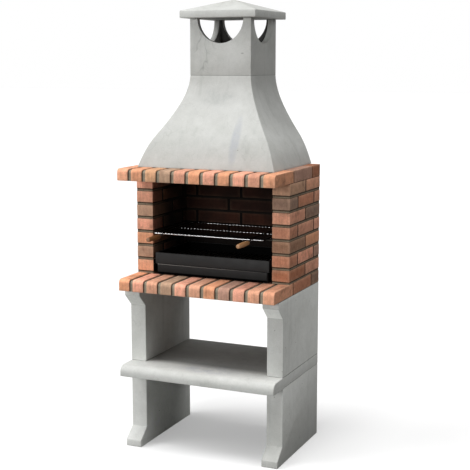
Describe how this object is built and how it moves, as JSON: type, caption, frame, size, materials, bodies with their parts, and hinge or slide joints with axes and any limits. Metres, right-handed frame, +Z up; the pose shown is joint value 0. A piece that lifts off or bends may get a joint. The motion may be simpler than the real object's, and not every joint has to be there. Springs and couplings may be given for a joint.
{
  "type": "outdoor masonry barbecue",
  "caption": "Free-standing garden barbecue of cast concrete and brick: legs, shelf, open firebox with charcoal basket, ash drawer and handled grill, flared hood and chimney.",
  "frame": {"origin": "on the floor, under the middle of the outer box", "axes": "+Z up, +X to the right as seen from the front, +Y to the back, so the firebox opens towards -Y"},
  "size_m": [0.812, 0.678, 2.2],
  "materials": {
    "cast_concrete": "pale grey cast concrete, smooth from the mould with faint mottling",
    "facing_brick": "sand-faced clay brick in mixed orange, pink, tan and brown, unglazed",
    "fire_brick": "dark red firebrick, matt, sooted",
    "mortar": "grey-brown sand mortar, struck back from the brick faces",
    "black_steel": "folded sheet steel in matt black heat-proof paint",
    "bare_steel": "hot-rolled steel, dark and heat-stained",
    "chromed_wire": "bright chromed steel rod and wire",
    "turned_beech": "turned beech, oiled, grain along the grip"
  },
  "bodies": {
    "masonry": {"lower_leg_left": "cast_concrete", "lower_leg_right": "cast_concrete", "storage_shelf": "cast_concrete", "upper_leg_left": "cast_concrete", "upper_leg_right": "cast_concrete", "hearth_brick_row_1": "facing_brick", "hearth_brick_row_2": "facing_brick", "hearth_brick_row_3": "facing_brick", "hearth_mortar": "mortar", "left_wall_course_1": "facing_brick", "left_wall_course_2": "facing_brick", "left_wall_course_3": "facing_brick", "left_wall_course_4": "facing_brick", "left_wall_course_5": "facing_brick", "left_wall_course_6": "facing_brick", "left_wall_course_7": "facing_brick", "left_wall_mortar": "mortar", "right_wall_course_1": "facing_brick", "right_wall_course_2": "facing_brick", "right_wall_course_3": "facing_brick", "right_wall_course_4": "facing_brick", "right_wall_course_5": "facing_brick", "right_wall_course_6": "facing_brick", "right_wall_course_7": "facing_brick", "right_wall_mortar": "mortar", "back_wall_course_1": "fire_brick", "back_wall_course_2": "fire_brick", "back_wall_course_3": "fire_brick", "back_wall_course_4": "fire_brick", "back_wall_course_5": "fire_brick", "back_wall_course_6": "fire_brick", "back_wall_course_7": "fire_brick", "back_wall_mortar": "mortar", "lintel_front_bricks": "facing_brick", "lintel_side_bricks_left": "facing_brick", "lintel_side_bricks_right": "facing_brick", "lintel_rear_bricks": "facing_brick", "lintel_mortar": "mortar", "hood": "cast_concrete", "chimney_pot": "cast_concrete", "chimney_cap": "cast_concrete", "drawer_runner_left": "black_steel", "drawer_runner_right": "black_steel", "grill_rail_left": "bare_steel", "grill_rail_right": "bare_steel"},
    "charcoal_basket": {"charcoal_basket": "black_steel"},
    "charcoal_grate": {"charcoal_grate": "bare_steel"},
    "ash_drawer": {"ash_drawer": "black_steel"},
    "cooking_grill": {"cooking_grill": "chromed_wire", "handle_rod_left": "chromed_wire", "handle_rod_right": "chromed_wire", "handle_grip_left": "turned_beech", "handle_grip_right": "turned_beech"}
  },
  "joints": [
    {"name": "grill_slide", "type": "slide", "parent": "masonry", "child": "cooking_grill", "axis": [0, -1, 0], "range_m": [0, 0.36]},
    {"name": "basket_slide", "type": "slide", "parent": "masonry", "child": "charcoal_basket", "axis": [0, -1, 0], "range_m": [0, 0.34]},
    {"name": "grate_lift", "type": "slide", "parent": "charcoal_basket", "child": "charcoal_grate", "axis": [0, 0, 1], "range_m": [0, 0.08]},
    {"name": "drawer_slide", "type": "slide", "parent": "masonry", "child": "ash_drawer", "axis": [0, -1, 0], "range_m": [0, 0.32]}
  ]
}
